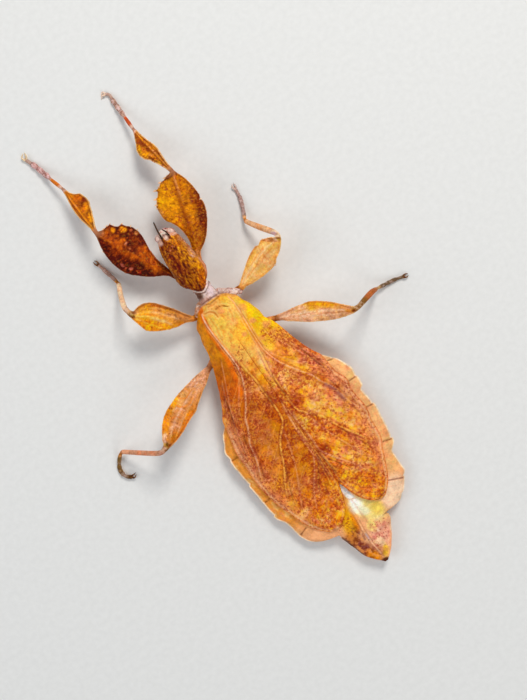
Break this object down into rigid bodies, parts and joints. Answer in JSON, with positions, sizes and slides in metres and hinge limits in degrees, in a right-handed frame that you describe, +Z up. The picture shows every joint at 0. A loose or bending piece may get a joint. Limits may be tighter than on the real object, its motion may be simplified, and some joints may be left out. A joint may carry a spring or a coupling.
{
  "type": "leaf insect",
  "caption": "Life-size still model of a female leaf insect with leaf-like wings, abdomen and legs, resting on its belly and feet.",
  "frame": {"origin": "on the floor, below the centre of the model's box", "axes": "+Y toward the insect's head, +X toward its right side, +Z up out of its back"},
  "size_m": [0.0708, 0.11, 0.0121],
  "materials": {
    "head_cuticle": "brown and orange mottled cuticle, satin",
    "eye": "pinkish, smooth and glossy",
    "antenna": "dark brown, satin",
    "pale_cuticle": "grey-pink wrinkled cuticle, satin",
    "body_cuticle": "orange and peach leaf-like cuticle, satin",
    "tegmen": "orange veined leaf-like wing with dark red speckles, satin",
    "dark_leg": "dark red-brown with amber spots, satin",
    "gold_leg": "golden amber, finely mottled, satin",
    "pale_leg": "orange and salmon cuticle, satin",
    "tarsus": "pinkish grey, satin"
  },
  "bodies": {
    "root": {"head": "head_cuticle", "eye_left": "eye", "eye_right": "eye", "antenna_left": "antenna", "antenna_right": "antenna", "prothorax": "pale_cuticle", "thorax": "body_cuticle", "abdomen": "body_cuticle", "tegmen_left": "tegmen", "tegmen_right": "tegmen", "leg_front_left_coxa": "dark_leg", "leg_front_left_femur": "dark_leg", "leg_front_left_tibia": "gold_leg", "leg_front_left_tarsus": "tarsus", "leg_front_right_coxa": "gold_leg", "leg_front_right_femur": "gold_leg", "leg_front_right_tibia": "gold_leg", "leg_front_right_tarsus": "tarsus", "leg_middle_left_coxa": "pale_leg", "leg_middle_left_femur": "pale_leg", "leg_middle_left_tibia": "pale_leg", "leg_middle_left_tarsus": "tarsus", "leg_middle_right_coxa": "pale_leg", "leg_middle_right_femur": "pale_leg", "leg_middle_right_tibia": "pale_leg", "leg_middle_right_tarsus": "tarsus", "leg_hind_left_coxa": "pale_leg", "leg_hind_left_femur": "pale_leg", "leg_hind_left_tibia": "pale_leg", "leg_hind_left_tarsus": "tarsus", "leg_hind_right_coxa": "pale_leg", "leg_hind_right_femur": "pale_leg", "leg_hind_right_tibia": "pale_leg", "leg_hind_right_tarsus": "tarsus"}
  },
  "joints": []
}
